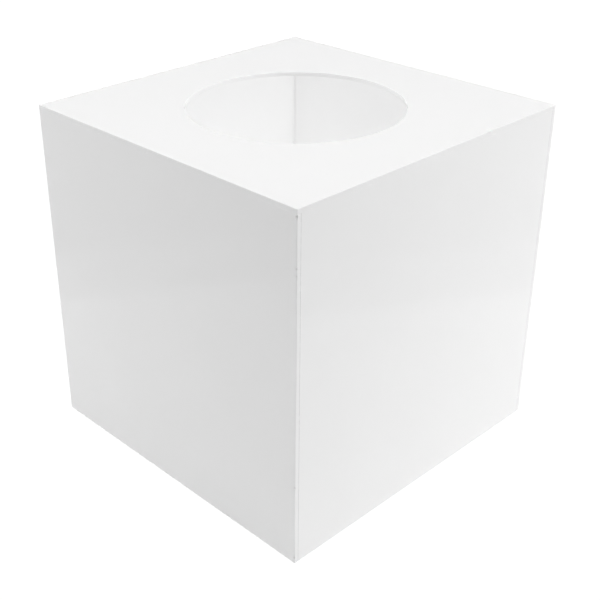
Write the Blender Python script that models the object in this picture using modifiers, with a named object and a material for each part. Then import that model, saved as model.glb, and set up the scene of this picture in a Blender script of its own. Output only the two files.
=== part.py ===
"""Display cube of white acrylic sheet, 250 mm a side, with a round hole in its top.

Five sheets make the cube, and its base is open. The top lies over the four walls. The front and
back walls run the full width, and the left and right walls are butted between them. A bead of
cement fills each inside corner and is what holds the sheets together.

The origin is the centre of the base, +Z is up and -Y is the front. All lengths are in metres.
"""

import math

import bmesh
import bpy
from mathutils import Matrix, Vector

# Driving dimensions
SIDE = 0.250
SHEET = 0.003
HOLE_DIAMETER = 0.152
ARRIS = 0.0003  # softened outer edges, and both rims of the hole
BEAD_LEG = 0.0025  # width of a cement bead along each of the two sheets that it joins
BEAD_LIP = 0.0004  # thickness of a bead at its feathered edges
BEAD_FOOT = 0.002  # height at which the upright beads start, so that the cube rests on its walls
GAP = 0.0003  # the glue line between two sheets, and between a sheet and a bead

# Fineness of the curved parts
ARRIS_SEGMENTS = 2
HOLE_SEGMENTS = 160
BEAD_ARC_STEPS = 6
OVERCUT = 0.001  # how far the hole's cutter passes both faces of the top

# Places worked out from them
HALF = SIDE / 2
INSIDE = HALF - SHEET
CEILING = SIDE - SHEET
WALL_HEIGHT = CEILING - GAP
SEAM = INSIDE - GAP
BEAD_TOP = CEILING - GAP
NEAR = 1e-6


def clear_scene():
    for obj in list(bpy.data.objects):
        bpy.data.objects.remove(obj, do_unlink=True)


def new_collection(name, hidden=False):
    collection = bpy.data.collections.new(name)
    collection.hide_render = hidden
    bpy.context.scene.collection.children.link(collection)
    return collection


def plastic(name, colour, roughness):
    material = bpy.data.materials.new(name)
    material.use_nodes = True
    shader = material.node_tree.nodes["Principled BSDF"]
    shader.inputs["Base Color"].default_value = (*colour, 1.0)
    shader.inputs["Roughness"].default_value = roughness
    shader.inputs["Metallic"].default_value = 0.0
    material.diffuse_color = (*colour, 1.0)
    return material


def add_object(name, data, collection, parent=None, location=(0, 0, 0)):
    obj = bpy.data.objects.new(name, data)
    obj.location = location
    obj.parent = parent
    collection.objects.link(obj)
    return obj


def on_outer_edge(point):
    """True for a point on two or more of the cube's outer planes."""
    planes = (
        abs(abs(point.x) - HALF) < NEAR,
        abs(abs(point.y) - HALF) < NEAR,
        min(abs(point.z), abs(point.z - SIDE)) < NEAR,
    )
    return sum(planes) >= 2


def sheet_mesh(name, size, centre):
    """A rectangular sheet, with a bevel weight on each edge that is an outer edge of the cube."""
    mesh = bpy.data.meshes.new(name)
    bm = bmesh.new()
    bmesh.ops.create_cube(bm, size=1.0)
    bmesh.ops.scale(bm, vec=size, verts=bm.verts)
    weight = bm.edges.layers.float.new("bevel_weight_edge")
    for edge in bm.edges:
        middle = (edge.verts[0].co + edge.verts[1].co) / 2 + Vector(centre)
        edge[weight] = 1.0 if on_outer_edge(middle) else 0.0
    bm.to_mesh(mesh)
    bm.free()
    return mesh


def add_sheet(name, size, centre, material, collection, parent):
    obj = add_object(name, sheet_mesh(name, size, centre), collection, parent, centre)
    obj.data.materials.append(material)
    arris = obj.modifiers.new("arris", "BEVEL")
    arris.limit_method = "WEIGHT"
    arris.width = ARRIS
    arris.segments = ARRIS_SEGMENTS
    return obj


def hole_cutter(collection):
    """A turned plug that cuts the hole and breaks both of its rims at 45 degrees."""
    radius = HOLE_DIAMETER / 2
    flare = ARRIS + OVERCUT
    top = SHEET / 2 + OVERCUT
    straight = SHEET / 2 - ARRIS
    profile = [(0, top), (radius + flare, top), (radius, straight)]
    profile += [(r, -z) for r, z in reversed(profile)]
    mesh = bpy.data.meshes.new("hole_cutter")
    edges = [(i, i + 1) for i in range(len(profile) - 1)]
    mesh.from_pydata([(r, 0, z) for r, z in profile], edges, [])
    centre = (0, 0, CEILING + SHEET / 2)
    cutter = add_object("hole_cutter", mesh, collection, location=centre)
    cutter.hide_render = True
    cutter.display_type = "WIRE"
    turn = cutter.modifiers.new("turn", "SCREW")
    turn.steps = HOLE_SEGMENTS
    turn.render_steps = HOLE_SEGMENTS
    turn.use_smooth_shade = True
    turn.use_merge_vertices = True
    turn.merge_threshold = 0.00001
    return cutter


def cut(obj, cutter):
    boolean = obj.modifiers.new("hole", "BOOLEAN")
    boolean.operation = "DIFFERENCE"
    boolean.solver = "EXACT"
    boolean.object = cutter


def bead_outline():
    """Cross-section of a bead: two legs from the corner at (0, 0), and a hollow face."""
    radius = BEAD_LEG - BEAD_LIP
    points = [(0, 0), (BEAD_LEG, 0)]
    for step in range(BEAD_ARC_STEPS + 1):
        angle = -math.pi / 2 * (1 + step / BEAD_ARC_STEPS)
        x = BEAD_LEG + radius * math.cos(angle)
        y = BEAD_LEG + radius * math.sin(angle)
        points.append((x, y))
    points.append((0, BEAD_LEG))
    return points


def add_bead(name, corner, legs, length, material, collection, parent):
    """A straight bead centred at corner, with its legs along two unit vectors."""
    points = bead_outline()
    curve = bpy.data.curves.new(name, "CURVE")
    curve.dimensions = "2D"
    curve.fill_mode = "BOTH"
    curve.extrude = length / 2
    spline = curve.splines.new("POLY")
    spline.points.add(len(points) - 1)
    for spline_point, (x, y) in zip(spline.points, points):
        spline_point.co = (x, y, 0, 1)
    spline.use_cyclic_u = True
    curve.materials.append(material)
    obj = add_object(name, curve, collection, parent, corner)
    first, second = (Vector(leg) for leg in legs)
    turned = Matrix((first, second, first.cross(second))).transposed()
    obj.rotation_euler = turned.to_euler()
    return obj


def add_top(parts, cutters, parent, material):
    centre = (0, 0, CEILING + SHEET / 2)
    top = add_sheet("top_panel", (SIDE, SIDE, SHEET), centre, material, parts, parent)
    cut(top, hole_cutter(cutters))


def add_walls(parts, parent, material):
    """Full-width walls at the front and back, and butted walls between them."""
    middle = HALF - SHEET / 2
    for name, way in (("front_panel", -1), ("back_panel", 1)):
        centre = (0, way * middle, WALL_HEIGHT / 2)
        add_sheet(name, (SIDE, SHEET, WALL_HEIGHT), centre, material, parts, parent)
    for name, way in (("left_panel", -1), ("right_panel", 1)):
        centre = (way * middle, 0, WALL_HEIGHT / 2)
        add_sheet(name, (SHEET, 2 * SEAM, WALL_HEIGHT), centre, material, parts, parent)


def add_upright_beads(parts, parent, material):
    """One bead in each vertical inside corner, ending just under the beads of the top."""
    low = BEAD_FOOT
    high = BEAD_TOP - BEAD_LEG - GAP
    for depth, y in (("front", -1), ("back", 1)):
        for side, x in (("left", -1), ("right", 1)):
            corner = (x * SEAM, y * SEAM, (low + high) / 2)
            legs = ((-x, 0, 0), (0, -y, 0)) if x == y else ((0, -y, 0), (-x, 0, 0))
            name = f"cement_{depth}_{side}"
            add_bead(name, corner, legs, high - low, material, parts, parent)


def add_top_beads(parts, parent, material):
    """One bead under the top along each wall; those at the sides stop at the other two."""
    down = (0, 0, -1)
    for name, y in (("cement_top_front", -1), ("cement_top_back", 1)):
        corner = (0, y * SEAM, BEAD_TOP)
        add_bead(name, corner, ((0, -y, 0), down), 2 * SEAM, material, parts, parent)
    length = 2 * (SEAM - BEAD_LEG - GAP)
    for name, x in (("cement_top_left", -1), ("cement_top_right", 1)):
        corner = (x * SEAM, 0, BEAD_TOP)
        add_bead(name, corner, ((-x, 0, 0), down), length, material, parts, parent)


def main():
    clear_scene()
    parts = new_collection("acrylic_display_cube")
    cutters = new_collection("cutters", hidden=True)
    cube = add_object("display_cube", None, parts)
    white = (0.88, 0.88, 0.88)
    top_sheet = plastic("opal_top_sheet", white, 0.12)
    wall_sheet = plastic("opal_wall_sheet", white, 0.12)
    cement = plastic("acrylic_cement", (0.82, 0.82, 0.81), 0.2)
    add_top(parts, cutters, cube, top_sheet)
    add_walls(parts, cube, wall_sheet)
    add_upright_beads(parts, cube, cement)
    add_top_beads(parts, cube, cement)


main()
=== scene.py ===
"""The white acrylic display cube, as sheets of opal acrylic joined by cement, around the CAD frame."""

import math
import random
from collections import namedtuple

import bmesh
import bpy
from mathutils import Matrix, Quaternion, Vector, noise


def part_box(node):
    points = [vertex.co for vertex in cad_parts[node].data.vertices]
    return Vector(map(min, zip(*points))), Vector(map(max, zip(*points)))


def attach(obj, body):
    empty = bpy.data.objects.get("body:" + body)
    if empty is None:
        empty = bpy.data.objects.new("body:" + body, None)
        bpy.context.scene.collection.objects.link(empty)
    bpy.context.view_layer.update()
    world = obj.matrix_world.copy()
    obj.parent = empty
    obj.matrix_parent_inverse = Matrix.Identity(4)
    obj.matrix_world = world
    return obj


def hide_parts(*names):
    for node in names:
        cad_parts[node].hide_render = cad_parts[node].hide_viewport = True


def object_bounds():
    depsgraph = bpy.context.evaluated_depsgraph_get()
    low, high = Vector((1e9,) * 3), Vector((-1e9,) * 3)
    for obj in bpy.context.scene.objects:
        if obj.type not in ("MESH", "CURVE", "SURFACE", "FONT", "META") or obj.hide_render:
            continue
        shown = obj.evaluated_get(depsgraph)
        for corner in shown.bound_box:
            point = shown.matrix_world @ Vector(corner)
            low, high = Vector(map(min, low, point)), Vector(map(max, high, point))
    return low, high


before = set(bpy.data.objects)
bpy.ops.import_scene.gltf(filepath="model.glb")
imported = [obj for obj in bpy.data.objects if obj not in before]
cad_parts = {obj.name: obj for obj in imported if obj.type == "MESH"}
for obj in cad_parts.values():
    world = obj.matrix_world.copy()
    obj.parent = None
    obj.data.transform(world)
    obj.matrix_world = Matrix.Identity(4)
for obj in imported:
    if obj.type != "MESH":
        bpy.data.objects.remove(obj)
CAD_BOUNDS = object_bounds()

# Sizes read from the frame, in metres
LOW, HIGH = CAD_BOUNDS
TOP_LOW, TOP_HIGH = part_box("top_panel")
FRONT_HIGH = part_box("front_panel")[1]
RIGHT_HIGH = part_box("right_panel")[1]
SIDE = HIGH.x - LOW.x
HALF = SIDE / 2
SHEET = TOP_HIGH.z - TOP_LOW.z
CEILING = TOP_LOW.z
INSIDE = -FRONT_HIGH.y
GLUE_LINE = CEILING - FRONT_HIGH.z
HOLE_RADIUS = min(v.co.xy.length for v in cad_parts["top_panel"].data.vertices)

# Meshes of the sheets
CELL = 0.005  # spacing of the grid on a wall's broad faces
HOLE_SEGMENTS = 320
HOLE_RINGS = 16
NEAR = 1e-6
CUT_TILT = 0.3  # a cut edge's normal leans less than this towards the sheet's thin axis
BROAD_TILT = 0.9  # and a broad face's leans more than this

# Arrises: the outer edges, scraped round by hand, and the two finer ones of the hole
ARRIS = 0.0005
ARRIS_SEGMENTS = 3
ARRIS_REACH = ARRIS * 1.5
ARRIS_WOBBLE = 0.00012
RIM_ARRIS = 0.00012
SHARP_FROM = math.radians(42)
FACE_WEIGHT = 80

# Nicks in the upright arrises
CHIP_SIZE = 0.00055
CHIP_MARGIN = 0.004
FRONT_NICKS = (  # the near arris's larger nicks: the drop below the top, and the size
    (0.0046, 0.0008),
    (0.0365, 0.0006),
    (0.041, 0.00045),
    (0.189, 0.0006),
    (0.2455, 0.0007),
)
# Painted shade: the floors of the larger nicks get a darker grey, which stands in for the shade in
# these small hollows
NICK_SHADE_REACH = 1.3  # in sizes of the nick
NICK_SHADE_DEPTH = 0.00004  # below the cube's sides

# Light in the acrylic: how far it spreads under a surface, and how much of a lamp's a face lets on
ACRYLIC_IOR = 1.49
SCATTER = 0.0002
RIM_SCATTER = 0.002
INSIDE_SCATTER = 0.002
LAMP_SHARE = 0.8

# Cement
FILM_CLEARANCE = 0.00002
FILM_DIP = 0.00001
FILLET_LEG = 0.0011
FILLET_LEAST = 0.00005
FILLET_LIP = 0.00015
FILLET_STEPS = 6
FILLET_RAMP = 0.004  # the length over which a fillet grows to its full size
STATION = 0.0008  # spacing of the sections along a seam
RECESS = 0.00003
PIT_DEPTH = 0.0006
SEAM_FOOT = 0.0002
SEAM_END = 0.0001  # how far the upright seams stop short of the seams under the top
BARE_FOOT = 0.0015  # how far from the seams' feet, heads and side ends their fillets begin
BARE_HEAD = FILLET_LEG * 0.8
BARE_SIDE = FILLET_LEG * 0.6
SEAM_SHARP_FROM = math.radians(50)

# Material slots of a sheet and of a seam. INNER is a wall's inside face, or the edge of the hole. The
# fourth slot of a sheet holds the darker grey painted as shade in the larger nicks
FACE, EDGE, INNER, SHADED_NICK_SLOT = range(4)
FILLET, FILM = range(2)

# The paper that the cube stands on, and the table under it, in sides of the cube
FLOOR_REACH = 60
TABLE_TURN = math.radians(31.3)
TABLE_EDGES = (1.41, 1.82, FLOOR_REACH)
TABLE_LIFT = 0.001  # metres
PLAIN_WHITE = 1.05
HORIZON = 0.9  # the world's light at the horizon, as a share of its light from above

# Camera, in sides of the cube
CAMERA_PLACE = Vector((1.9919, -2.0161, 1.9393)) * SIDE
CAMERA_AIM = Vector((-0.0392, -0.0794, 0.4504)) * SIDE
CAMERA_ROLL = math.radians(-0.423)
CAMERA_LENS = 64.6
CAMERA_SHIFT = (0.056, -0.0217)


# ---------------------------------------------------------------- materials

def new_material(name):
    material = bpy.data.materials.new(name)
    material.use_nodes = True
    tree = material.node_tree
    return material, tree, tree.nodes["Principled BSDF"]


def add_node(tree, kind, **inputs):
    node = tree.nodes.new(kind)
    for key, value in inputs.items():
        node.inputs[key].default_value = value
    return node


def object_noise(tree, scale, detail=2.0, stretch=(1, 1, 1)):
    """A noise node on object coordinates, so that a pattern keeps its real size."""
    place = tree.nodes.new("ShaderNodeTexCoord")
    mapping = add_node(tree, "ShaderNodeMapping", Scale=stretch)
    texture = add_node(tree, "ShaderNodeTexNoise", Scale=scale, Detail=detail)
    tree.links.new(place.outputs["Object"], mapping.inputs["Vector"])
    tree.links.new(mapping.outputs["Vector"], texture.inputs["Vector"])
    return texture.outputs["Fac"]


def remap(tree, value, low, high, start=0.3, end=0.7):
    """Takes a value from start to end to one from low to high. Noise lies mostly within 0.3 to 0.7."""
    node = tree.nodes.new("ShaderNodeMapRange")
    node.inputs["From Min"].default_value = start
    node.inputs["From Max"].default_value = end
    node.inputs["To Min"].default_value = low
    node.inputs["To Max"].default_value = high
    tree.links.new(value, node.inputs["Value"])
    return node.outputs["Result"]


def grey_mottle(tree, pattern, dark, pale):
    """A grey that goes from dark to pale with a noise pattern."""
    node = tree.nodes.new("ShaderNodeMix")
    node.data_type = "RGBA"
    node.inputs["A"].default_value = (dark, dark, dark, 1)
    node.inputs["B"].default_value = (pale, pale, pale, 1)
    tree.links.new(remap(tree, pattern, 0.0, 1.0), node.inputs["Factor"])
    return node.outputs["Result"]


def bump(tree, height, distance):
    node = add_node(tree, "ShaderNodeBump", Strength=1.0, Distance=distance)
    tree.links.new(height, node.inputs["Height"])
    return node.outputs["Normal"]


def mix_by_ray(tree, ray, shader, other):
    """Shows the shader, except to one kind of ray, which meets the other one."""
    rays = tree.nodes.new("ShaderNodeLightPath")
    mix = tree.nodes.new("ShaderNodeMixShader")
    tree.links.new(rays.outputs[ray], mix.inputs["Fac"])
    tree.links.new(shader.outputs["BSDF"], mix.inputs[1])
    tree.links.new(other.outputs[0], mix.inputs[2])
    tree.links.new(mix.outputs["Shader"], tree.nodes["Material Output"].inputs["Surface"])


def let_lamps_through(tree, shader):
    """Light from the lamps goes on through the sheet, dimmed at each of its two faces."""
    share = (LAMP_SHARE, LAMP_SHARE, LAMP_SHARE, 1)
    clear = add_node(tree, "ShaderNodeBsdfTransparent", Color=share)
    mix_by_ray(tree, "Is Shadow Ray", shader, clear)


def scatter_light(shader, depth):
    shader.inputs["Subsurface Weight"].default_value = 1.0
    shader.inputs["Subsurface Radius"].default_value = (1.0, 1.0, 1.0)
    shader.inputs["Subsurface Scale"].default_value = depth


def opal_acrylic(name, scatter=SCATTER):
    """Gloss white acrylic that lets diffused light through, with a cast sheet's faint unevenness."""
    material, tree, shader = new_material(name)
    shader.inputs["IOR"].default_value = ACRYLIC_IOR
    scatter_light(shader, scatter)
    cloud = object_noise(tree, 14, 3.0)
    haze = object_noise(tree, 90, 6.0)
    peel = object_noise(tree, 420)
    tree.links.new(grey_mottle(tree, cloud, 0.925, 0.935), shader.inputs["Base Color"])
    tree.links.new(remap(tree, haze, 0.035, 0.065), shader.inputs["Roughness"])
    tree.links.new(bump(tree, peel, 0.000004), shader.inputs["Normal"])
    let_lamps_through(tree, shader)
    return material


def cut_edge(name, stretch, scatter=SCATTER):
    """A trimmed edge of the same sheet, scraped smooth, with fine marks along the cut."""
    material, tree, shader = new_material(name)
    shader.inputs["IOR"].default_value = ACRYLIC_IOR
    scatter_light(shader, scatter)
    marks = object_noise(tree, 260, 4.0, stretch)
    tree.links.new(grey_mottle(tree, marks, 0.922, 0.932), shader.inputs["Base Color"])
    tree.links.new(remap(tree, marks, 0.12, 0.2), shader.inputs["Roughness"])
    tree.links.new(bump(tree, marks, 0.000008), shader.inputs["Normal"])
    let_lamps_through(tree, shader)
    return material


def acrylic_cement(name, tones, roughness, milky):
    """Set solvent cement, smooth and a little uneven. A milky one lets light through."""
    material, tree, shader = new_material(name)
    shader.inputs["IOR"].default_value = 1.47
    swirl = object_noise(tree, 300, 3.0)
    ripple = object_noise(tree, 700)
    tree.links.new(grey_mottle(tree, swirl, *tones), shader.inputs["Base Color"])
    tree.links.new(remap(tree, swirl, *roughness), shader.inputs["Roughness"])
    tree.links.new(bump(tree, ripple, 0.00003), shader.inputs["Normal"])
    if milky:
        scatter_light(shader, SCATTER)
        let_lamps_through(tree, shader)
    return material


def matt(name, tone):
    """A dull, faintly mottled grey, for paper, the room and the painted shade in the nicks."""
    material, tree, shader = new_material(name)
    mottle = object_noise(tree, 6, 3.0)
    tree.links.new(grey_mottle(tree, mottle, tone - 0.002, tone + 0.002), shader.inputs["Base Color"])
    shader.inputs["Roughness"].default_value = 0.9
    shader.inputs["Specular IOR Level"].default_value = 0.0
    return material


# ---------------------------------------------------------------- shared mesh work

def finish_piece(bm, name, materials, node):
    mesh = bpy.data.meshes.new(name)
    bm.normal_update()
    bm.to_mesh(mesh)
    bm.free()
    mesh.shade_smooth()
    for material in materials:
        mesh.materials.append(material)
    piece = bpy.data.objects.new(name, mesh)
    bpy.context.scene.collection.objects.link(piece)
    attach(piece, "root")
    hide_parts(node)
    return piece


def smooth_flats(piece):
    """Lets the broad flat faces set the normals, so that an arris is round and a face is flat."""
    piece.data.set_sharp_from_angle(angle=SHARP_FROM)
    weighted = piece.modifiers.new("flat_faces", "WEIGHTED_NORMAL")
    weighted.weight = FACE_WEIGHT
    weighted.mode = "FACE_AREA"
    weighted.keep_sharp = True


def unevenness(point, scale, seed, axis):
    """Smooth noise around zero, with bumps about 1 / scale metres across. The seed shifts it."""
    shift = Vector()
    shift[axis] = seed
    return noise.noise(point * scale + shift)


def outer_planes(point):
    """Whether a point lies on the cube's outside along X, Y and Z."""
    return (
        abs(abs(point.x) - HALF) < NEAR,
        abs(abs(point.y) - HALF) < NEAR,
        min(abs(point.z - LOW.z), abs(point.z - HIGH.z)) < NEAR,
    )


def outer_edges(bm):
    """Edges that lie along an outer edge of the whole cube."""
    found = []
    for edge in bm.edges:
        ends = [outer_planes(v.co) for v in edge.verts]
        if sum(a and b for a, b in zip(*ends)) >= 2:
            found.append(edge)
    return found


def round_arris(bm, edges, width):
    bmesh.ops.bevel(
        bm,
        geom=edges,
        offset=width,
        offset_type="OFFSET",
        segments=ARRIS_SEGMENTS,
        profile=0.5,
        affect="EDGES",
        clamp_overlap=True,
        material=-1,
    )


def wear_arris(bm, seed):
    """Makes the hand-scraped arris a little wider in places, always inwards."""
    limits = ((-HALF, HALF), (-HALF, HALF), (LOW.z, HIGH.z))
    for vert in bm.verts:
        inward = Vector()
        for axis, (low, high) in enumerate(limits):
            if abs(vert.co[axis] - low) < ARRIS_REACH:
                inward[axis] = 1
            if abs(vert.co[axis] - high) < ARRIS_REACH:
                inward[axis] = -1
        if sum(map(abs, inward)) < 2:
            continue
        amount = unevenness(vert.co, 160, seed, 0) + 0.6 * unevenness(vert.co, 520, seed, 1)
        vert.co += inward.normalized() * ARRIS_WOBBLE * max(0.0, amount + 0.3)


def mark_cut_edges(bm, axis):
    """Gives the edge material to the faces that a saw or a router cut."""
    for face in bm.faces:
        if abs(face.normal[axis]) < CUT_TILT:
            face.material_index = EDGE


# ---------------------------------------------------------------- flat walls

def grid_lines(low, high):
    count = max(1, round((high - low) / CELL))
    return [low + (high - low) * i / count for i in range(1, count)]


def wall_mesh(low, high, thin_axis):
    """A rectangular sheet cut into a fine, even grid on its two broad faces."""
    bm = bmesh.new()
    bmesh.ops.create_cube(bm, size=1.0)
    bmesh.ops.scale(bm, vec=high - low, verts=bm.verts)
    bmesh.ops.translate(bm, vec=(low + high) / 2, verts=bm.verts)
    for axis in range(3):
        if axis == thin_axis:
            continue
        normal = Vector()
        normal[axis] = 1
        for place in grid_lines(low[axis], high[axis]):
            geometry = bm.verts[:] + bm.edges[:] + bm.faces[:]
            bmesh.ops.bisect_plane(bm, geom=geometry, plane_co=normal * place, plane_no=normal)
    return bm


def mark_inside(bm, axis):
    """Gives the inner material to the broad face that looks into the cube."""
    for face in bm.faces:
        tilt = face.normal[axis]
        if abs(tilt) > BROAD_TILT and tilt * face.calc_center_median()[axis] < 0:
            face.material_index = INNER


def add_wall(name, node, thin_axis, materials, seed):
    low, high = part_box(node)
    bm = wall_mesh(low, high, thin_axis)
    round_arris(bm, outer_edges(bm), ARRIS)
    bm.normal_update()
    mark_cut_edges(bm, thin_axis)
    mark_inside(bm, thin_axis)
    wear_arris(bm, seed)
    return finish_piece(bm, name, materials, node)


# ---------------------------------------------------------------- nicks in the walls

def chip_cutter(name, places, seed):
    """Small rough lumps, placed along an arris, that nick it."""
    rng = random.Random(seed)
    bm = bmesh.new()
    for place, size in places:
        lump = bmesh.ops.create_icosphere(bm, subdivisions=2, radius=1.0)["verts"]
        stretch = Vector((size, size, size * rng.uniform(1.0, 2.2)))
        for vert in lump:
            rough = 1 + 0.35 * noise.noise(vert.co * 2.3 + Vector((seed, place.z * 90, 0)))
            vert.co = Vector(a * b for a, b in zip(vert.co * rough, stretch)) + place
    mesh = bpy.data.meshes.new(name)
    bm.to_mesh(mesh)
    bm.free()
    cutter = bpy.data.objects.new(name, mesh)
    bpy.context.scene.collection.objects.link(cutter)
    return cutter


def nick(piece, places, seed):
    """Cuts the nicks into the piece's mesh for good."""
    cutter = chip_cutter(piece.name + "_chips", places, seed)
    boolean = piece.modifiers.new("chips", "BOOLEAN")
    boolean.operation = "DIFFERENCE"
    boolean.solver = "MANIFOLD"
    boolean.object = cutter
    graph = bpy.context.evaluated_depsgraph_get()
    cut = bpy.data.meshes.new_from_object(piece.evaluated_get(graph), depsgraph=graph)
    piece.modifiers.remove(boolean)
    old = piece.data
    piece.data = cut
    bpy.data.meshes.remove(old)
    bpy.data.objects.remove(cutter)


def small_nicks(x, y, count, seed):
    """Places and sizes of small nicks along the upright arris at (x, y)."""
    rng = random.Random(seed)
    places = []
    for _ in range(count):
        height = LOW.z + CHIP_MARGIN + (CEILING - 2 * CHIP_MARGIN) * rng.random()
        out = CHIP_SIZE * rng.uniform(0.0, 0.5)
        side = rng.choice((-1, 1)) * CHIP_SIZE * rng.uniform(0.0, 0.6)
        ax = x + math.copysign(out, x) + (side if rng.random() < 0.5 else 0)
        ay = y + math.copysign(out, y)
        places.append((Vector((ax, ay, height)), CHIP_SIZE * rng.uniform(0.5, 1.2)))
    return places


def near_nicks():
    """Places and sizes of the larger nicks of the near upright arris."""
    return [(Vector((HALF - size / 2, -HALF, HIGH.z - drop)), size) for drop, size in FRONT_NICKS]


def paint_nick_shade(piece, places):
    """Gives the floors of the larger nicks a darker grey, as painted shade in these hollows."""
    for face in piece.data.polygons:
        close = any((face.center - place).length < NICK_SHADE_REACH * size for place, size in places)
        if close and max(abs(face.center.x), abs(face.center.y)) < HALF - NICK_SHADE_DEPTH:
            face.material_index = SHADED_NICK_SLOT


def add_walls(materials):
    front = add_wall("front_sheet", "front_panel", 1, materials, 21)
    back = add_wall("back_sheet", "back_panel", 1, materials, 22)
    left = add_wall("left_sheet", "left_panel", 0, materials, 23)
    right = add_wall("right_sheet", "right_panel", 0, materials, 24)
    near = near_nicks()
    nick(front, near + small_nicks(HALF, -HALF, 12, 5) + small_nicks(-HALF, -HALF, 8, 6), 5)
    # The darker grey is painted shade for the floors of the larger nicks
    front.data.materials.append(matt("painted_nick_shade", 0.8))
    paint_nick_shade(front, near)
    nick(back, small_nicks(HALF, HALF, 8, 8) + small_nicks(-HALF, HALF, 7, 9), 8)
    for wall in (front, back, left, right):
        smooth_flats(wall)


# ---------------------------------------------------------------- top sheet

def square_point(k, count, half):
    """The k-th of count points, evenly spaced round a square, from the middle of its right side."""
    t = (k / count * 4 + 0.5) % 4
    side, along = int(t), (t % 1) * 2 - 1
    return (
        Vector((half, along * half)),
        Vector((-along * half, half)),
        Vector((-half, -along * half)),
        Vector((along * half, -half)),
    )[side]


def top_ring(ring):
    """Ring 0 is the hole's circle and the last one is the sheet's square outline."""
    share = ring / (HOLE_RINGS - 1)
    points = []
    for k in range(HOLE_SEGMENTS):
        turn = 2 * math.pi * k / HOLE_SEGMENTS
        inner = Vector((math.cos(turn), math.sin(turn))) * HOLE_RADIUS
        points.append(inner.lerp(square_point(k, HOLE_SEGMENTS, HALF), share))
    return points


def top_mesh():
    """The square sheet with its round hole: rings of faces above and below, joined at both borders."""
    bm = bmesh.new()
    levels = []
    for z in (TOP_HIGH.z, TOP_LOW.z):
        levels.append([[bm.verts.new((*p, z)) for p in top_ring(ring)] for ring in range(HOLE_RINGS)])
    upper, lower = levels
    for ring in range(HOLE_RINGS - 1):
        for k in range(HOLE_SEGMENTS):
            n = (k + 1) % HOLE_SEGMENTS
            bm.faces.new((upper[ring][k], upper[ring + 1][k], upper[ring + 1][n], upper[ring][n]))
            bm.faces.new((lower[ring][n], lower[ring + 1][n], lower[ring + 1][k], lower[ring][k]))
    for k in range(HOLE_SEGMENTS):
        n = (k + 1) % HOLE_SEGMENTS
        bm.faces.new((upper[-1][k], lower[-1][k], lower[-1][n], upper[-1][n]))
        bm.faces.new((upper[0][n], lower[0][n], lower[0][k], upper[0][k]))
    bm.normal_update()
    return bm


def hole_edges(bm):
    """Edges along the hole's upper and lower circles."""
    found = []
    for edge in bm.edges:
        first, second = (v.co for v in edge.verts)
        level = abs(first.z - second.z) < NEAR
        if level and all(abs(end.xy.length - HOLE_RADIUS) < NEAR for end in (first, second)):
            found.append(edge)
    return found


def mark_rim(bm):
    """Gives the inner material to the routed edge of the hole."""
    for face in bm.faces:
        radius = face.calc_center_median().xy.length
        if abs(face.normal.z) < CUT_TILT and radius < HOLE_RADIUS + RIM_ARRIS:
            face.material_index = INNER


def add_top(materials):
    bm = top_mesh()
    round_arris(bm, hole_edges(bm), RIM_ARRIS)
    round_arris(bm, outer_edges(bm), ARRIS)
    bm.normal_update()
    mark_cut_edges(bm, 2)
    mark_rim(bm)
    wear_arris(bm, 3)
    smooth_flats(finish_piece(bm, "top_sheet", materials, "top_panel"))


# ---------------------------------------------------------------- cement

# A line of cement along an inside corner, from start to end. The film lies outward of the corner
# and the fillet reaches inward. bare gives how far from start and from end the fillet begins. skin
# is how many of the film's faces, counted from the outside, show the film's own material.
Seam = namedtuple("Seam", "node start end outward inward bare skin seed")


def upright_seams():
    places = (
        ("front_left", -1, -1, 16),
        ("front_right", 1, -1, 19),
        ("back_left", -1, 1, 15),
        ("back_right", 1, 1, 18),
    )
    seams = []
    for corner, x, y, seed in places:
        start = Vector((x * INSIDE, y * INSIDE, LOW.z + SEAM_FOOT))
        end = Vector((x * INSIDE, y * INSIDE, FRONT_HIGH.z - SEAM_END))
        outward, inward = Vector((x, 0, 0)), Vector((0, -y, 0))
        bare = (BARE_FOOT, BARE_HEAD)
        seams.append(Seam(f"cement_{corner}", start, end, outward, inward, bare, 2, seed))
    return seams


def top_seams():
    """The seams under the top. The front and back ones run its full length, the others between them."""
    down = Vector((0, 0, -1))
    seams = []
    for wall, y, seed in (("front", -1, 6), ("back", 1, 8)):
        reach = HALF - SEAM_FOOT
        start = Vector((-reach, y * INSIDE, CEILING))
        end = Vector((reach, y * INSIDE, CEILING))
        outward = Vector((0, y, 0))
        seams.append(Seam(f"cement_top_{wall}", start, end, outward, down, (SHEET, SHEET), 3, seed))
    for wall, x, seed in (("left", -1, 10), ("right", 1, 12)):
        start = Vector((x * INSIDE, -RIGHT_HIGH.y, CEILING))
        end = Vector((x * INSIDE, RIGHT_HIGH.y, CEILING))
        outward = Vector((x, 0, 0))
        bare = (BARE_SIDE, BARE_SIDE)
        seams.append(Seam(f"cement_top_{wall}", start, end, outward, down, bare, 3, seed))
    return seams


def ramp(distance):
    t = min(1.0, max(0.0, distance / FILLET_RAMP))
    return t * t * (3 - 2 * t)


def cement_profile(recess, leg_along, leg_up):
    """Section of a seam's cement, as (outward, inward) pairs from the seam's inside corner.

    The film lies between the sheets, from the outside to the corner, and the fillet is inside."""
    low = FILM_CLEARANCE
    high = GLUE_LINE - FILM_CLEARANCE
    end = SHEET - recess
    points = [(end, low), (end - FILM_DIP, (low + high) / 2), (end, high), (0.0, high)]
    across = max(leg_up, FILLET_LEAST)
    along = max(leg_along, FILLET_LEAST)
    points.append((-FILM_CLEARANCE, high + across))
    for step in range(1, FILLET_STEPS):
        angle = math.pi / 2 * step / FILLET_STEPS
        u = -along + (along - FILLET_LIP) * math.cos(angle)
        v = high + across - (high + across - low - FILLET_LIP) * math.sin(angle)
        points.append((u, v))
    points.append((-along, low))
    return points


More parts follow.
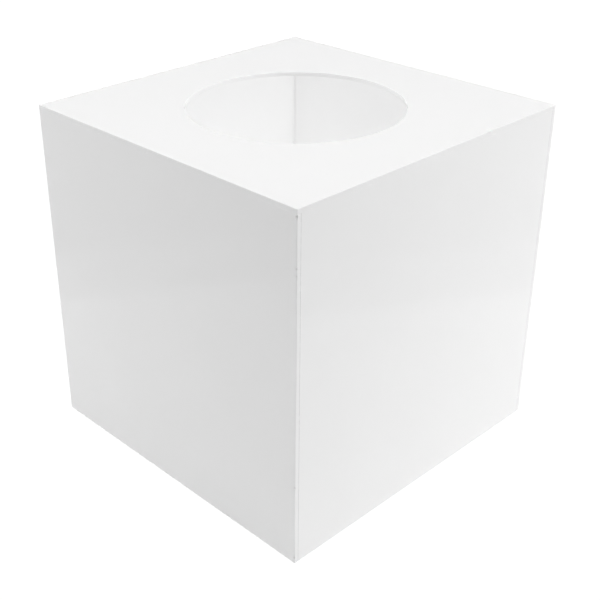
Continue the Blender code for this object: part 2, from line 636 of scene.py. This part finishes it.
def seam_section(seam, distance):
    """The section at a distance along the seam, uneven as cement runs, with a pit here and there."""
    length = (seam.end - seam.start).length
    place = seam.start + (seam.end - seam.start).normalized() * distance
    body = ramp(distance - seam.bare[0]) * ramp(length - seam.bare[1] - distance)
    drift = unevenness(place, 60, seam.seed, 0)
    ripple = unevenness(place, 330, seam.seed, 1)
    leg = FILLET_LEG * (1 + 0.12 * drift + 0.05 * ripple) * body
    leg_up = FILLET_LEG * (1 - 0.12 * drift + 0.05 * ripple) * body
    pit = max(0.0, unevenness(place, 240, seam.seed, 2) - 0.42) / 0.3
    recess = RECESS * (1 + 0.6 * ripple) + PIT_DEPTH * min(1.0, pit)
    return [place + seam.outward * u + seam.inward * v for u, v in cement_profile(recess, leg, leg_up)]


def add_seam(seam, materials):
    length = (seam.end - seam.start).length
    count = max(2, round(length / STATION))
    bm = bmesh.new()
    sections = []
    for i in range(count + 1):
        sections.append([bm.verts.new(point) for point in seam_section(seam, length * i / count)])
    size = len(sections[0])
    for first, second in zip(sections, sections[1:]):
        for k in range(size):
            n = (k + 1) % size
            face = bm.faces.new((first[k], first[n], second[n], second[k]))
            face.material_index = FILM if k < seam.skin else FILLET
    bm.faces.new(reversed(sections[0]))
    bm.faces.new(sections[-1])
    bmesh.ops.recalc_face_normals(bm, faces=bm.faces)
    piece = finish_piece(bm, f"{seam.node}_line", materials, seam.node)
    piece.data.set_sharp_from_angle(angle=SEAM_SHARP_FROM)


# ---------------------------------------------------------------- stage

def show_white(tree, shader):
    """The camera sees plain white paper, however far away, and the cube is lit by its real tone."""
    white = add_node(tree, "ShaderNodeEmission", Color=(1, 1, 1, 1), Strength=PLAIN_WHITE)
    mix_by_ray(tree, "Is Camera Ray", shader, white)


def add_floor():
    bm = bmesh.new()
    bmesh.ops.create_grid(bm, x_segments=8, y_segments=8, size=FLOOR_REACH * SIDE)
    mesh = bpy.data.meshes.new("floor")
    bm.to_mesh(mesh)
    bm.free()
    paper = matt("floor", 0.95)
    show_white(paper.node_tree, paper.node_tree.nodes["Principled BSDF"])
    mesh.materials.append(paper)
    floor = bpy.data.objects.new("floor", mesh)
    floor.location.z = LOW.z
    bpy.context.scene.collection.objects.link(floor)


def surround_mesh():
    """Two bands past each long edge of the table: its rim, and then the room's floor."""
    across = Vector((math.cos(TABLE_TURN), math.sin(TABLE_TURN), 0))
    along = Vector((-across.y, across.x, 0)) * FLOOR_REACH
    bm = bmesh.new()
    for way in (-1, 1):
        for band, (near, far) in enumerate(zip(TABLE_EDGES, TABLE_EDGES[1:])):
            inner, outer = across * way * near, across * way * far
            corners = (inner - along, outer - along, outer + along, inner + along)
            face = bm.faces.new([bm.verts.new(corner * SIDE) for corner in corners])
            face.material_index = band
    mesh = bpy.data.meshes.new("surround")
    bm.to_mesh(mesh)
    bm.free()
    return mesh


def add_surround():
    """The dimmer room past the pale table's two long edges, which shows only in the sheets' gloss."""
    mesh = surround_mesh()
    mesh.materials.append(matt("table_rim", 0.70))
    mesh.materials.append(matt("room_floor", 0.55))
    surround = bpy.data.objects.new("surround", mesh)
    surround.location.z = LOW.z + TABLE_LIFT
    surround.visible_camera = False
    surround.visible_diffuse = False
    surround.visible_shadow = False
    bpy.context.scene.collection.objects.link(surround)


# ---------------------------------------------------------------- light and camera

def add_light(name, kind, place, power, aim=(0, 0, 0.5)):
    """A light aimed at the middle of the cube, or elsewhere. Places are in sides of the cube."""
    data = bpy.data.lights.new(name, kind)
    data.energy = power
    data.cycles.use_multiple_importance_sampling = False
    light = bpy.data.objects.new(name, data)
    light.location = Vector(place) * SIDE
    way = Vector(aim) - Vector(place)
    light.rotation_euler = way.to_track_quat("-Z", "Y").to_euler()
    light.visible_camera = False
    bpy.context.scene.collection.objects.link(light)
    return data


def add_soft_box(name, place, size, power, **aim):
    data = add_light(name, "AREA", place, power, **aim)
    data.shape = "SQUARE"
    data.size = size * SIDE


def add_soft_sky(name, place, angle, power):
    """A very wide sun, which lights the floor evenly out to the far side."""
    data = add_light(name, "SUN", place, power)
    data.angle = math.radians(angle)


def add_world(strength):
    """A white studio all round, which lights the cube a little less from the horizon."""
    world = bpy.data.worlds.new("studio")
    world.use_nodes = True
    tree = world.node_tree
    place = tree.nodes.new("ShaderNodeTexCoord")
    split = tree.nodes.new("ShaderNodeSeparateXYZ")
    tree.links.new(place.outputs["Generated"], split.inputs["Vector"])
    light = remap(tree, split.outputs["Z"], strength * HORIZON, strength, 0.0, 1.0)
    rays = tree.nodes.new("ShaderNodeLightPath")
    seen = add_node(tree, "ShaderNodeMix", B=PLAIN_WHITE)
    tree.links.new(rays.outputs["Is Camera Ray"], seen.inputs["Factor"])
    tree.links.new(light, seen.inputs["A"])
    tree.links.new(seen.outputs["Result"], tree.nodes["Background"].inputs["Strength"])
    tree.nodes["Background"].inputs["Color"].default_value = (1, 1, 1, 1)
    bpy.context.scene.world = world


def add_lights():
    add_soft_box("overhead", (0, 0, 6.5), 6, 8.8)
    add_soft_box("background", (-3, 3, 6), 4, 7.8, aim=(-3, 3, 0))
    add_soft_box("left", (-4.26, -2.98, 3.4), 4, 7.6)
    add_soft_box("right", (2.18, 2.18, 1.84), 2.4, 1.9)
    add_soft_sky("sky", (4.7, 1.71, 8.66), 70, 1.0)
    add_world(0.2)


def add_camera():
    data = bpy.data.cameras.new("camera")
    data.lens = CAMERA_LENS
    data.shift_x, data.shift_y = CAMERA_SHIFT
    data.clip_start = 0.01
    camera = bpy.data.objects.new("camera", data)
    camera.location = CAMERA_PLACE
    look = (CAMERA_AIM - CAMERA_PLACE).to_track_quat("-Z", "Y")
    camera.rotation_euler = (look @ Quaternion((0, 0, 1), CAMERA_ROLL)).to_euler()
    bpy.context.scene.collection.objects.link(camera)
    bpy.context.scene.camera = camera


def main():
    faces = opal_acrylic("opal_acrylic")
    inside = opal_acrylic("opal_acrylic_inside", INSIDE_SCATTER)
    wall_edges = cut_edge("sawn_edge", (1, 1, 12))
    top_edges = cut_edge("trimmed_edge", (12, 12, 1))
    rim = cut_edge("routed_edge", (1, 1, 8), RIM_SCATTER)
    fillet = acrylic_cement("cement_fillet", (0.98, 0.985), (0.1, 0.2), True)
    upright_film = acrylic_cement("cement_upright", (0.56, 0.7), (0.15, 0.3), False)
    top_film = acrylic_cement("cement_under_top", (0.91, 0.94), (0.15, 0.3), False)
    add_top((faces, top_edges, rim))
    add_walls((faces, wall_edges, inside))
    for seam in upright_seams():
        add_seam(seam, (fillet, upright_film))
    for seam in top_seams():
        add_seam(seam, (fillet, top_film))
    add_floor()
    add_surround()
    add_lights()
    add_camera()
    bpy.context.scene.view_settings.view_transform = "Standard"


main()
